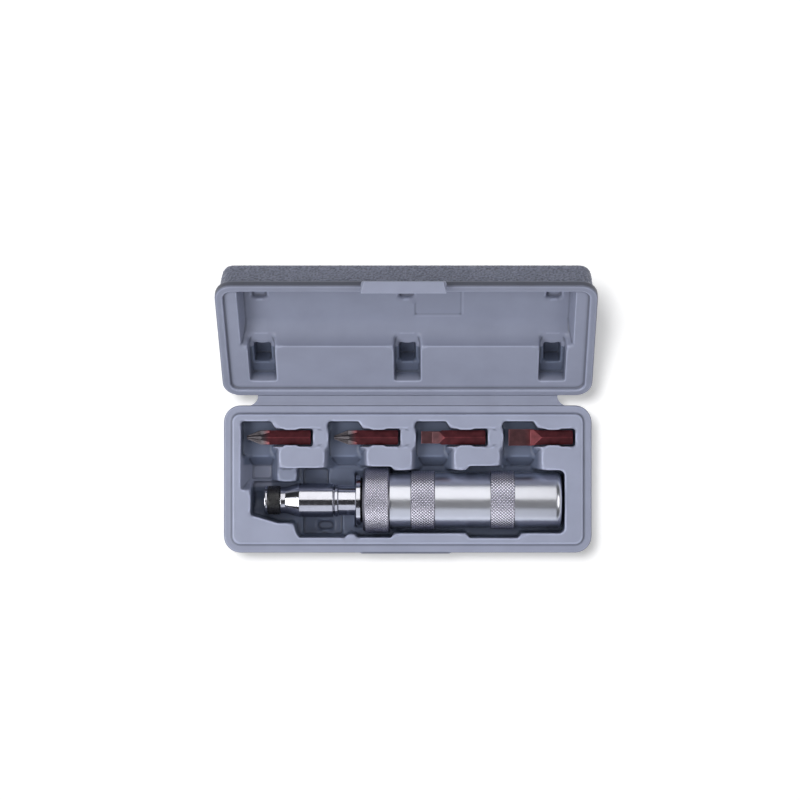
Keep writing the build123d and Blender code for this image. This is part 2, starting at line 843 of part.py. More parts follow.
def bit_holder():
    """Socket for a hexagonal bit at the front and for the drive square at the rear."""
    lip = holder_lip_diameter / 2
    seat = band_seat_diameter / 2
    neck = holder_neck_diameter / 2
    radius = holder_diameter / 2
    body = turned([
        (holder_front, lip - edge_break), (holder_front + edge_break, lip), (band_front, lip),
        (band_front, seat), (band_rear, seat), (band_rear, neck), (cone_front, neck), (cone_rear, radius),
        (holder_rear - shoulder_chamfer, radius), (holder_rear, radius - shoulder_chamfer),
    ])
    socket = socket_size + 2 * socket_clearance
    body -= hex_bar(socket, holder_front - overrun, holder_front + socket_depth, driver_axis_y, axis_z)
    hole = square_size + 2 * square_clearance
    square_end = shoulder_front - square_length - square_end_gap
    body -= square_bar(hole, square_corner, square_end, holder_rear + overrun)
    ball_hole = Pos(holder_ball_x, driver_axis_y, axis_z) * Rotation(quarter_turn, 0, 0)
    radius = holder_ball_diameter / 2 + fit_gap
    return body - ball_hole * Pos(0, 0, seat / 2) * Cylinder(radius, seat + overrun)


def holder_band():
    """Black rubber ring that presses the holder's ball onto the bit."""
    radius = band_diameter / 2
    band = turned([
        (band_front, radius - edge_break), (band_front + edge_break, radius),
        (band_rear - edge_break, radius), (band_rear, radius - edge_break),
    ])
    return band - rod(band_seat_diameter / 2, band_front, band_rear, driver_axis_y, axis_z)


def holder_ball():
    reach = (band_seat_diameter - holder_ball_diameter) / 2
    return Pos(holder_ball_x, driver_axis_y - reach, axis_z) * Sphere(holder_ball_diameter / 2)


# Bits


def bit_places(station):
    """Tip and rear end of a bit along X."""
    end = slot_end(station) - bit_end_gap
    return end - bit_length, end


def cross_bit(station):
    """Bit with a four-winged cross tip. Its flutes deepen slowly along the cone and then run out."""
    tip, end = bit_places(station)
    bar = hex_bar(bit_size, tip, end, bit_axis_y, bit_axis_z, bit_chamfer)
    stations = [(tip, cross_tip_radius), (tip + cross_cone_length, bit_corner), (end, bit_corner)]
    bar = bar & turned(stations, bit_axis_y, bit_axis_z)
    reach = bit_size
    sections = []
    places = [(0, cross_tip_wing), (cross_flute_length, cross_wing), (cross_flute_run, bit_corner)]
    for place, wing in places:
        middle = wing / 2 + reach / 2
        square = Plane.YZ.offset(place) * Pos(middle, middle) * Rectangle(reach, reach)
        sections.append(square.face())
    flute = loft(sections, ruled=True)
    for quarter in range(wing_count):
        bar -= Pos(tip, bit_axis_y, bit_axis_z) * Rotation(quarter * quarter_turn, 0, 0) * flute
    return bar


def side_cut(points, width):
    """Solid seen from the side as these (along X, half height) points, and as wide as given."""
    outline = points + [(x, -z) for x, z in reversed(points)]
    face = Plane.XZ * make_face(Polyline(*outline, close=True))
    return extrude(face, amount=width / 2, both=True)


def plan_cut(points, height):
    outline = points + [(x, -y) for x, y in reversed(points)]
    return extrude(make_face(Polyline(*outline, close=True)), amount=height / 2, both=True)


def narrow_bit(station):
    """Bit with a ground blade as wide as its shank."""
    tip, end = bit_places(station)
    bar = hex_bar(bit_size, tip, end, bit_axis_y, bit_axis_z, bit_chamfer)
    thin = narrow_blade_thickness / 2
    blade_end = narrow_blade_length
    ramp_end = blade_end + narrow_ramp_length
    root = thin * blade_growth_share
    shank = [(ramp_end, bit_corner), (bit_length, bit_corner)]
    side = side_cut([(0, thin), (blade_end, root)] + shank, 2 * bit_size)
    half = narrow_blade_width / 2
    plan = plan_cut([(0, half), (ramp_end - blade_end / 2, half)] + shank, 2 * bit_size)
    return bar & Pos(tip, bit_axis_y, bit_axis_z) * (side & plan)


def wide_bit(station):
    """Bit with a forged blade wider than its shank and a waisted shoulder."""
    tip, end = bit_places(station)
    shoulder = wide_blade_length + wide_ramp_length
    place = Pos(tip, bit_axis_y, bit_axis_z)
    start = tip + wide_blade_length
    bar = place.inverse() * hex_bar(bit_size, start, end, bit_axis_y, bit_axis_z, bit_chamfer)
    thin = wide_blade_thickness / 2
    root = thin * blade_growth_share
    shank = [(shoulder, bit_corner), (bit_length, bit_corner)]
    side = side_cut([(0, thin), (wide_blade_length, root)] + shank, 2 * bit_size)
    half = wide_blade_width / 2
    flat = bit_corner - half * hex_slope_share
    long_hexagon = make_face(Polyline(
        (0, bit_corner), (half, flat), (half, -flat), (0, -bit_corner), (-half, -flat), (-half, flat),
        close=True,
    ))
    blade = extrude(Plane.YZ * long_hexagon, amount=shoulder)
    waist = [(shoulder, bit_size / 2), (bit_length, bit_size / 2)]
    plan = plan_cut([(0, half), (wide_blade_length, half)] + waist, 2 * bit_size)
    return place * ((blade + bar) & side & plan)


def main():
    os.makedirs("parts", exist_ok=True)
    write(case_base(), "case_base")
    write(lid(), "lid")
    write(hinge_strip(), "hinge_strip")
    write(latch(), "latch")
    write(driver_body(), "driver_body")
    write(knurled_collar(), "knurled_collar")
    write(collar_snap_ring(), "collar_snap_ring")
    write(cam_pin(), "cam_pin")
    write(spindle(), "spindle")
    write(front_seal(), "front_seal")
    write(thrust_washer(), "thrust_washer")
    write(main_spring(), "main_spring")
    write(drive_ball(), "drive_ball")
    write(drive_ball_spring(), "drive_ball_spring")
    write(bit_holder(), "bit_holder")
    write(holder_band(), "holder_band")
    write(holder_ball(), "holder_ball")
    write(cross_bit(0), "cross_bit_left")
    write(cross_bit(1), "cross_bit_right")
    write(narrow_bit(2), "narrow_blade_bit")
    write(wide_bit(3), "wide_blade_bit")


main()
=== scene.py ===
from math import pi, radians, sin, sqrt, tau

import bmesh
import bpy
import numpy as np
from mathutils import Matrix, Vector, noise


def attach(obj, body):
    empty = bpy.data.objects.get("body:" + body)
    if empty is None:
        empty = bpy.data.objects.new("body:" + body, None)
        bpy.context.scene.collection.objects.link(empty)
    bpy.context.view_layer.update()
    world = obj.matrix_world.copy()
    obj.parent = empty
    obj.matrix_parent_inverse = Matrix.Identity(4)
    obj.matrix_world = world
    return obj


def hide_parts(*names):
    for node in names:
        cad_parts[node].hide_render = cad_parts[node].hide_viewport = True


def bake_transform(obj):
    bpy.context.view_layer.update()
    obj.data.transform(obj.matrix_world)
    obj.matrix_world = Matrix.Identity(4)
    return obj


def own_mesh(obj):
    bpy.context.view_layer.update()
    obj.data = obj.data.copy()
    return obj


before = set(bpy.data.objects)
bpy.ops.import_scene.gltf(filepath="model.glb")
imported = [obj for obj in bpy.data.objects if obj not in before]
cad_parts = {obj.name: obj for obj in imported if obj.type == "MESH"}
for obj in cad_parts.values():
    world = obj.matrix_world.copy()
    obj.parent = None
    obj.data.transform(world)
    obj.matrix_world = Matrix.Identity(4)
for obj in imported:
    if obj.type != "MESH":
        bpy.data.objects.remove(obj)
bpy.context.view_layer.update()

scene = bpy.context.scene
mm = 0.001

# Places that the pieces share, in millimetres
axis_y = -12.2
axis_z = 22.6
case_length = 206.2
case_depth = 82.6
case_corner = 9.4
rim_z = 32.4
plateau_z = 34.0
trough_reach = 24.5
lid_rim_z = 32.6
lid_top_z = 55.6
flange = 4.8
ledge = 1.8
hinge_y = 43.9086
hinge_z = 31.4023
open_angle = radians(135.0)
hinge_point = Vector((0.0, hinge_y, hinge_z)) * mm
to_open = (
    Matrix.Translation(hinge_point)
    @ Matrix.Rotation(-open_angle, 4, "X")
    @ Matrix.Translation(-hinge_point)
)
to_closed = to_open.inverted()


# Mesh helpers


def add_object(name, mesh):
    piece = bpy.data.objects.new(name, mesh)
    scene.collection.objects.link(piece)
    return piece


def mesh_from(name, verts, faces):
    mesh = bpy.data.meshes.new(name)
    mesh.from_pydata([tuple(v) for v in verts], [], faces)
    mesh.update()
    return add_object(name, mesh)


def smooth(piece, angle=None):
    piece.data.shade_smooth()
    if angle is not None:
        piece.data.set_sharp_from_angle(angle=radians(angle))


def outer_island(mesh):
    """Welds a copied node and keeps its outermost closed surface."""
    bm = bmesh.new()
    bm.from_mesh(mesh)
    bmesh.ops.remove_doubles(bm, verts=bm.verts, dist=1e-7)
    left = set(bm.verts)
    best = None
    best_size = 0.0
    while left:
        seed = left.pop()
        island = [seed]
        reach = [seed]
        while reach:
            vert = reach.pop()
            for edge in vert.link_edges:
                other = edge.other_vert(vert)
                if other in left:
                    left.remove(other)
                    island.append(other)
                    reach.append(other)
        low = [min(v.co[k] for v in island) for k in range(3)]
        high = [max(v.co[k] for v in island) for k in range(3)]
        size = sum(b - a for a, b in zip(low, high))
        if size > best_size:
            best, best_size = set(island), size
    bmesh.ops.delete(bm, geom=[v for v in bm.verts if v not in best], context="VERTS")
    bm.to_mesh(mesh)
    bm.free()


def softened(node, name, voxel, rounds, turn=None):
    """Copy of a node with rounded edges: even mesh, then smoothed. turn: brings it to its closed place."""
    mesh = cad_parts[node].data.copy()
    mesh.name = name
    if turn is not None:
        mesh.transform(turn)
    outer_island(mesh)
    piece = add_object(name, mesh)
    remesh = piece.modifiers.new("even", "REMESH")
    remesh.mode = "VOXEL"
    remesh.voxel_size = voxel * mm
    relax = piece.modifiers.new("round", "SMOOTH")
    relax.factor = 0.5
    relax.iterations = rounds
    bpy.context.view_layer.update()
    graph = bpy.context.evaluated_depsgraph_get()
    final = bpy.data.meshes.new_from_object(piece.evaluated_get(graph))
    piece.modifiers.clear()
    piece.data = final
    final.name = name
    final.shade_smooth()
    return piece


def points_of(mesh):
    flat = np.empty(len(mesh.vertices) * 3, np.float32)
    mesh.vertices.foreach_get("co", flat)
    return flat.reshape(-1, 3).astype(float)


def normals_of(mesh):
    flat = np.empty(len(mesh.vertices) * 3, np.float32)
    mesh.vertex_normals.foreach_get("vector", flat)
    return flat.reshape(-1, 3).astype(float)


def ramp(value, low, high):
    """Smooth step from 0 at low to 1 at high."""
    share = np.clip((value - low) / (high - low), 0.0, 1.0)
    return share * share * (3 - 2 * share)


def window(value, places):
    """Rises between the first two places and falls between the last two."""
    start, full, last, end = places
    return ramp(value, start, full) * (1.0 - ramp(value, last, end))


def store(mesh, name, values):
    layer = mesh.attributes.new(name, "FLOAT", "POINT")
    layer.data.foreach_set("value", np.asarray(values, np.float32))


def averager(mesh):
    """Function that gives each point the mean of its neighbours' values."""
    size = len(mesh.vertices)
    ends = np.empty(len(mesh.edges) * 2, np.int32)
    mesh.edges.foreach_get("vertices", ends)
    a, b = ends.reshape(-1, 2).T
    count = np.maximum(np.bincount(a, minlength=size) + np.bincount(b, minlength=size), 1)

    def around(values):
        if values.ndim > 1:
            return np.column_stack([around(column) for column in values.T])
        return (np.bincount(a, values[b], size) + np.bincount(b, values[a], size)) / count

    return around


def gap_to_outline(co):
    """How far each point lies inside the case's rounded outline, up to its corner radius."""
    beyond_x = np.clip(case_corner - case_length / 2 + np.abs(co[:, 0]), 0.0, None)
    beyond_y = np.clip(case_corner - case_depth / 2 + np.abs(co[:, 1]), 0.0, None)
    return case_corner - np.hypot(beyond_x, beyond_y)


# What makes an upright corner: change of direction, bulge in millimetres, level share of its normal
corner_turn = 0.02
corner_bulge = 0.008
corner_level = 0.3

# How far its rounding reaches and fades, in steps from point to point
corner_spread = 5
corner_blur = 4


def round_uprights(piece, passes):
    """Rounds the upright outer corners inside a half, such as those of the islands between the bits."""
    mesh = piece.data
    co = points_of(mesh) / mm
    around = averager(mesh)
    normal = normals_of(mesh)
    level = normal[:, :2]
    length = np.linalg.norm(level, axis=1)
    turning = 1.0 - np.linalg.norm(around(level), axis=1) / np.maximum(around(length), 1e-6)
    stands_out = ((co - around(co)) * normal).sum(axis=1)
    corner = (turning > corner_turn) & (stands_out > corner_bulge) & (length > corner_level)
    corner &= gap_to_outline(co) > flange + ledge
    for _ in range(corner_spread):
        corner |= around(corner.astype(float)) > 0
    weight = corner.astype(float)
    for _ in range(corner_blur):
        weight = around(weight)
    for _ in range(passes):
        co += 0.5 * weight[:, None] * (around(co) - co)
    mesh.vertices.foreach_set("co", (co * mm).astype(np.float32).ravel())
    mesh.update()


faint_share = 0.25


def trace_edges(piece, bend, rounds=2):
    """Stores where the surface bends outwards (ridge) and inwards (crease), for a painted highlight on
    ridges and painted shade in creases.

    bend: how far a full ridge stands out, in millimetres. A faint one starts at a share of that.
    """
    mesh = piece.data
    co = points_of(mesh) / mm
    around = averager(mesh)
    out = ((co - around(co)) * normals_of(mesh)).sum(axis=1)
    for _ in range(rounds):
        out = 0.5 * out + 0.5 * around(out)
    store(mesh, "ridge", ramp(out, faint_share * bend, bend))
    store(mesh, "crease", ramp(-out, faint_share * bend, bend))


# Grain of the outer walls, in millimetres
grain_depth = 0.34
grain_scale = 0.95
grain_contrast = 2.2
grain_fade = 0.8
grain_margin = 0.4
broad_reach = 5.0
facing_share = 0.9

# Depths under the plateau between which a recess starts to get painted shade and gets it in full
recess_start = 0.8
recess_full = 9.0

# Outermost strip of the rims, darkened as a painted shade line round the case's outline
rim_edge = (0.2, 0.9)

# Lower floor of the first well, where most of the painted recess shade is left off, so it is painted
# lighter: places along X and along Y
shade_lifted_floor_x = (-94.0, -92.0, -78.5, -76.5)
shade_lifted_floor_y = (-6.0, -4.0, 6.8, 8.4)
shade_lift_share = 0.8


def stipple(piece, low, high, trough):
    """Leathery grain on a half's outer walls and broad face, pressed inwards.

    low and high: heights between which the grain lies. Recesses under the plateau, the grain's pits and the
    rims' outermost strip are marked too, for painted shade in them. trough: how much those over the driver
    count.
    """
    mesh = piece.data
    co = points_of(mesh) / mm
    normal = normals_of(mesh)
    gap = gap_to_outline(co)
    near_wall = gap < flange - grain_margin
    z = co[:, 2]
    direction = 1.0 if high > low else -1.0
    height = (z - low) * direction
    span = abs(high - low)
    on_broad = height > span - broad_reach
    outward = normal[:, 2] * direction > facing_share
    mask = (near_wall | (on_broad & outward)) * ramp(height, 0.0, grain_fade)
    grain = np.zeros(len(co))
    for index in np.nonzero(mask > 0)[0]:
        grain[index] = noise.noise(Vector(co[index]) / grain_scale)
    depth = grain_depth * mask * (0.5 + 0.5 * np.clip(grain * grain_contrast, -1.0, 1.0))
    co -= normal * depth[:, None]
    mesh.vertices.foreach_set("co", (co * mm).astype(np.float32).ravel())
    inside = ramp(gap, flange + ledge - 0.5, flange + ledge + 0.1)
    # Painted shade: depth under the plateau, inside the rims, marks the recesses whose colour is darkened
    deep = ramp((z - plateau_z) * direction, recess_start, recess_full) * inside * ~(on_broad & outward)
    deep *= np.where(co[:, 1] < axis_y + trough_reach, trough, 1.0)
    # Painted lighter: most of the painted recess shade is left off this one floor
    on_shade_lifted_floor = window(co[:, 0], shade_lifted_floor_x) * window(co[:, 1], shade_lifted_floor_y)
    store(mesh, "deep", deep * (1.0 - shade_lift_share * on_shade_lifted_floor))
    # grain also places the bump; the plastic darkens by grain and pit as painted shade on the grain, by
    # edge as a painted shade line on the rims' outermost strip, and a little by border over the rims
    store(mesh, "grain", mask)
    store(mesh, "painted_pit_shade", depth / grain_depth)
    store(mesh, "border", 1.0 - inside)
    store(mesh, "edge", (1.0 - ramp(gap, *rim_edge)) * (1.0 - mask))
    mesh.update()


def lathe(name, rings, count):
    """Closed turned form about the driver's axis. Each ring: place along X, and radius or one per point."""
    angle = np.arange(count) * tau / count
    verts = []
    for x, radius in rings:
        r = np.broadcast_to(np.asarray(radius, float), (count,))
        across = axis_y + r * np.cos(angle)
        height = axis_z + r * np.sin(angle)
        verts.append(np.column_stack((np.full(count, x), across, height)))
    verts = np.concatenate(verts)
    faces = []
    for ring in range(len(rings) - 1):
        a = ring * count
        b = a + count
        for k in range(count):
            n = (k + 1) % count
            faces.append((a + k, a + n, b + n, b + k))
    start = len(verts)
    verts = np.vstack((verts, [[rings[0][0], axis_y, axis_z], [rings[-1][0], axis_y, axis_z]]))
    last = (len(rings) - 1) * count
    for k in range(count):
        n = (k + 1) % count
        faces.append((start, n, k))
        faces.append((start + 1, last + k, last + n))
    piece = mesh_from(name, verts * mm, faces)
    bm = bmesh.new()
    bm.from_mesh(piece.data)
    bmesh.ops.recalc_face_normals(bm, faces=bm.faces)
    bm.to_mesh(piece.data)
    bm.free()
    return piece


# Corners of turned outlines: usual radius in mm, and shares of the shorter side that a round may take
corner_radius = 0.25
round_share = 0.42
support = 0.08
support_share = 0.06
straight = radians(2.0)


def rounded(points, steps=4):
    """Outline with its inner corners rounded, and a supporting point beside each round."""
    out = [points[0]]
    for i in range(1, len(points) - 1):
        p0, p1, p2 = (np.array(points[k][:2], float) for k in (i - 1, i, i + 1))
        before = p0 - p1
        after = p2 - p1
        len_a = np.linalg.norm(before)
        len_b = np.linalg.norm(after)
        before /= len_a
        after /= len_b
        turn = pi - np.arccos(np.clip(before @ after, -1.0, 1.0))
        if turn < straight:
            out.append(tuple(p1))
            continue
        own = points[i][2] if len(points[i]) > 2 else corner_radius
        reach = min(own * np.tan(turn / 2), round_share * len_a, round_share * len_b)
        start = p1 + before * reach
        end = p1 + after * reach
        out.append(tuple(start + before * min(support, len_a * support_share)))
        for k in range(steps + 1):
            t = k / steps
            out.append(tuple((1 - t) ** 2 * start + 2 * t * (1 - t) * p1 + t**2 * end))
        out.append(tuple(end + after * min(support, len_b * support_share)))
    out.append(points[-1])
    return out


# Points along a diamond of the knurl, and how steep its sides are
knurl_points = 10
knurl_steepness = 1.35


def knurl_rings(place, radius, base, pitch, around, depth, edge):
    """Rings of a diamond-knurled band. place: its start and end along X. edge: length where it fades."""
    start, end = place
    count = around * knurl_points
    angle = np.arange(count) / count * around
    steps = int(round((end - start) / pitch * knurl_points))
    rings = []
    for k in range(steps + 1):
        x = start + (end - start) * k / steps
        u = (x / pitch + angle) % 1.0
        v = (x / pitch - angle) % 1.0
        tri_u = 1 - np.abs(2 * u - 1)
        tri_v = 1 - np.abs(2 * v - 1)
        height = np.minimum(1.0, knurl_steepness * np.minimum(tri_u, tri_v))
        fade = min(1.0, (x - start) / edge, (end - x) / edge)
        top = base + (radius - base) * max(0.0, fade)
        rings.append((x, np.minimum(top, radius - depth * (1 - height))))
    return rings


def trace_grooves(piece, radius, depth):
    """Stores how deep each point lies under the knurl's tops, for painted shade in the knurl's grooves."""
    co = points_of(piece.data) / mm
    far = np.hypot(co[:, 1] - axis_y, co[:, 2] - axis_z)
    store(piece.data, "groove_shade", np.clip((radius - far) / depth, 0.0, 1.0))


def widened(rings, count):
    """Each ring's radius as one number per point."""
    return [(x, np.broadcast_to(np.asarray(r, float), (count,))) for x, r in rings]


def hexagon(across, count):
    """Radius of a hexagon with corners at top and bottom, by angle."""
    angle = np.arange(count) * tau / count
    folded = (angle + pi / 6) % (pi / 3) - pi / 6
    return across / 2 / np.cos(folded)


def square(side, corner, count):
    """Radius of a square with rounded corners and flat top, by angle."""
    angle = np.arange(count) * tau / count
    folded = np.abs((angle + pi / 4) % (pi / 2) - pi / 4)
    half = side / 2
    inner = half - corner
    flat = half / np.cos(folded)
    dist = inner * sqrt(2)
    off = pi / 4 - folded
    inside = corner**2 - (dist * np.sin(off)) ** 2
    arc = dist * np.cos(off) + np.sqrt(np.clip(inside, 0.0, None))
    return np.where(half * np.tan(folded) > inner, arc, flat)


# Materials

noise_low = 0.35
noise_high = 0.65


class Shader:
    """Small helper that builds one node material."""

    def __init__(self, name):
        self.material = bpy.data.materials.new(name)
        self.material.use_nodes = True
        self.tree = self.material.node_tree
        self.surface = self.tree.nodes["Principled BSDF"]

    def set(self, socket, value):
        self.surface.inputs[socket].default_value = value

    def node(self, kind, **values):
        made = self.tree.nodes.new(kind)
        for key, value in values.items():
            if hasattr(made, key):
                setattr(made, key, value)
            else:
                made.inputs[key.replace("_", " ")].default_value = value
        return made

    def link(self, source, target):
        self.tree.links.new(source, target)

    def place(self):
        return self.node("ShaderNodeTexCoord").outputs["Object"]

    def noise(self, scale, detail=2.0):
        texture = self.node("ShaderNodeTexNoise")
        texture.inputs["Scale"].default_value = scale
        texture.inputs["Detail"].default_value = detail
        self.link(self.place(), texture.inputs["Vector"])
        return texture.outputs["Fac"]

    def range(self, source, low, high):
        """Noise, spread from low to high."""
        remap = self.node("ShaderNodeMapRange")
        remap.inputs["From Min"].default_value = noise_low
        remap.inputs["From Max"].default_value = noise_high
        remap.inputs["To Min"].default_value = low
        remap.inputs["To Max"].default_value = high
        self.link(source, remap.inputs["Value"])
        return remap.outputs["Result"]

    def colours(self, source, stops):
        blend = self.node("ShaderNodeValToRGB")
        ends = blend.color_ramp.elements
        while len(ends) < len(stops):
            ends.new(0.5)
        for end, (at, colour) in zip(ends, stops):
            end.position = at
            end.color = (*colour, 1.0)
        self.link(source, blend.inputs["Fac"])
        return blend.outputs["Color"]

    def bump(self, source, strength, distance, under=None):
        bump = self.node("ShaderNodeBump")
        bump.inputs["Strength"].default_value = strength
        bump.inputs["Distance"].default_value = distance
        self.link(source, bump.inputs["Height"])
        if under is not None:
            self.link(under, bump.inputs["Normal"])
        self.link(bump.outputs["Normal"], self.surface.inputs["Normal"])
        return bump.outputs["Normal"]

    def layer(self, name):
        """Value that the mesh stores at its points."""
        return self.node("ShaderNodeAttribute", attribute_name=name).outputs["Fac"]

    def sums(self, operation, first, second):
        made = self.node("ShaderNodeMath", operation=operation)
        for socket, value in zip(made.inputs, (first, second)):
            if isinstance(value, (int, float)):
                socket.default_value = value
            else:
                self.link(value, socket)
        return made.outputs["Value"]

    def mixed(self, first, second, share):
        """First colour, going over into the second by a value."""
        made = self.node("ShaderNodeMix", data_type="RGBA")
        self.link(share, made.inputs[0])
        self.link(first, made.inputs[6])
        self.link(second, made.inputs[7])
        return made.outputs[2]

    def dimmed(self, colour, share):
        """Colour times a value."""
        made = self.node("ShaderNodeVectorMath", operation="SCALE")
        self.link(colour, made.inputs[0])
        self.link(share, made.inputs["Scale"])
        return made.outputs["Vector"]


def shades(colour, spread):
    """Two stops, a little darker and a little lighter than a colour."""
    return [(0.3, [c * (1 - spread) for c in colour]), (0.7, [c * (1 + spread) for c in colour])]


# Painted shade in recesses, as shares of the plastic's colour, and how much each stored layer darkens it:
# pit, grain, edge and crease are painted shade, ridge (below zero) is a painted highlight, border is a
# little darker over the rims
recess_shade_shares = (0.42, 0.465, 0.52)
darkening = (
    ("painted_pit_shade", 0.42),
    ("grain", 0.08),
    ("border", 0.08),
    ("edge", 0.62),
    ("crease", 0.4),
    ("ridge", -0.34),
)
plastic_spread = 0.05
metal_spread = 0.03
coat_spread = 0.3


def plastic(name, colour):
    """Moulded plastic: painted highlights on ridges, painted shade in recesses, creases, its grain, its
    grain's pits and along the rims' outermost strip; a little darker over the rims.
    """
    made = Shader(name)
    dark = [c * k for c, k in zip(colour, recess_shade_shares)]
    tone = made.colours(made.noise(60.0, 4.0), shades(colour, plastic_spread))
    recess_shaded_tone = made.colours(made.noise(60.0, 4.0), shades(dark, plastic_spread))
    # Painted shade: the darker tone in recesses
    tone = made.mixed(tone, recess_shaded_tone, made.layer("deep"))
    darker = 0.0
    # Painted shade from the stored layers, and a painted highlight on ridges
    for layer, share in darkening:
        darker = made.sums("ADD", made.sums("MULTIPLY", made.layer(layer), share), darker)
    made.link(made.dimmed(tone, made.sums("SUBTRACT", 1.0, darker)), made.surface.inputs["Base Color"])
    made.link(made.range(made.noise(260.0, 3.0), 0.34, 0.44), made.surface.inputs["Roughness"])
    cells = made.node("ShaderNodeTexVoronoi", feature="SMOOTH_F1")
    cells.inputs["Scale"].default_value = 900.0
    made.link(made.place(), cells.inputs["Vector"])
    pebbles = made.sums("MULTIPLY", cells.outputs["Distance"], made.layer("grain"))
    coarse = made.bump(pebbles, 0.9, 0.00045)
    made.bump(made.noise(2600.0, 2.0), 0.2, 0.00004, coarse)
    made.set("Specular IOR Level", 0.32)
    return made.material


def metal(name, colour, rough, bump=0.0, groove_shade=0.0):
    """Bare or plated metal. groove: how much darker it is at the bottom of its knurl, as painted shade."""
    made = Shader(name)
    made.set("Metallic", 1.0)
    tone = made.colours(made.noise(45.0, 3.0), shades(colour, metal_spread))
    # Painted shade at the bottom of the knurl
    if groove_shade:
        shade = made.sums("MULTIPLY", made.layer("groove_shade"), groove_shade)
        tone = made.dimmed(tone, made.sums("SUBTRACT", 1.0, shade))
    made.link(tone, made.surface.inputs["Base Color"])
    made.link(made.range(made.noise(320.0, 3.0), *rough), made.surface.inputs["Roughness"])
    if bump:
        made.bump(made.noise(900.0), bump, 0.00003)
    return made.material


def rubber(name):
    made = Shader(name)
    tone = made.colours(made.noise(120.0), shades((0.012, 0.012, 0.014), coat_spread))
    made.link(tone, made.surface.inputs["Base Color"])
    made.link(made.range(made.noise(500.0), 0.22, 0.4), made.surface.inputs["Roughness"])
    made.bump(made.noise(700.0), 0.3, 0.0001)
    return made.material


def coated(name):
    """Dark red-brown coating, thin enough to look metallic, going over into dark grey towards the tip;
    painted highlights on its ridges and painted shade in its creases.
    """
    made = Shader(name)
    made.set("Metallic", 0.7)
    tone = made.colours(made.noise(240.0, 4.0), shades((0.105, 0.021, 0.026), coat_spread))
    bare = made.colours(made.noise(240.0, 4.0), shades((0.050, 0.052, 0.058), coat_spread))
    tone = made.mixed(tone, bare, made.layer("tip"))
    # Painted highlight on ridges and painted shade in creases
    lighter = made.sums("ADD", 1.0, made.sums("MULTIPLY", made.layer("ridge"), 1.4))
    lighter = made.sums("SUBTRACT", lighter, made.sums("MULTIPLY", made.layer("crease"), 0.6))
    made.link(made.dimmed(tone, lighter), made.surface.inputs["Base Color"])
    made.link(made.range(made.noise(700.0, 3.0), 0.32, 0.42), made.surface.inputs["Roughness"])
    made.bump(made.noise(1500.0, 2.0), 0.25, 0.00005)
    return made.material


def dress(piece, material):
    piece.data.materials.clear()
    piece.data.materials.append(material)
    if piece.type == "MESH":
        piece.data.polygons.foreach_set("material_index", [0] * len(piece.data.polygons))


def paint_node(node, material):
    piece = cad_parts[node]
    for place in piece.material_slots:
        place.material = material
    if not piece.material_slots:
        piece.data.materials.append(material)


case_colour = (0.335, 0.360, 0.475)
# The lid and the hinge web are painted a fifth darker than the base, as painted shade
lid_shade_share = 0.80
latch_share = 0.88
case_plastic = plastic("case_plastic", case_colour)
lid_shaded_plastic = plastic("lid_shaded_plastic", [lid_shade_share * c for c in case_colour])
latch_plastic = plastic("latch_plastic", [latch_share * c for c in case_colour])
chrome = metal("satin_chrome", (0.75, 0.76, 0.82), (0.278, 0.30), bump=0.04)
knurl_chrome = metal("knurled_chrome", (0.86, 0.84, 0.97), (0.30, 0.35), groove_shade=0.75)
polished = metal("polished_chrome", (0.60, 0.60, 0.65), (0.13, 0.18), bump=0.1)
steel = metal("plain_steel", (0.45, 0.45, 0.46), (0.28, 0.4))
black_rubber = rubber("black_rubber")
bit_coat = coated("red_brown_coating")

# Case halves, latch and hinge web

case_voxel = 0.45
case_rounds = 9
corner_passes = 36
latch_voxel = 0.22
latch_rounds = 12
edge_bend = 0.027
small_bend = 0.02
grain_gap = 0.2

base = softened("case_base", "tray_half", case_voxel, case_rounds)
round_uprights(base, corner_passes)
trace_edges(base, edge_bend)
stipple(base, rim_z - flange - grain_gap, 0.0, 1.0)
dress(base, case_plastic)
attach(base, "base")
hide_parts("case_base")

cover = softened("lid", "lid_half", case_voxel, case_rounds, to_closed)
round_uprights(cover, corner_passes)
trace_edges(cover, edge_bend)
stipple(cover, lid_rim_z + flange + grain_gap, lid_top_z, 0.12)
cover.data.transform(to_open)
dress(cover, lid_shaded_plastic)
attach(cover, "lid_body")
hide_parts("lid")

tongue = softened("latch", "latch_tongue", latch_voxel, latch_rounds, to_closed)
trace_edges(tongue, small_bend)
tongue.data.transform(to_open)
dress(tongue, latch_plastic)
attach(tongue, "latch_body")
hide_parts("latch")


web_length = 5.3
web_half = 83.9
web_flare = 4.0
web_thickness = 0.8
web_drop = 0.04
web_thinning = 0.22


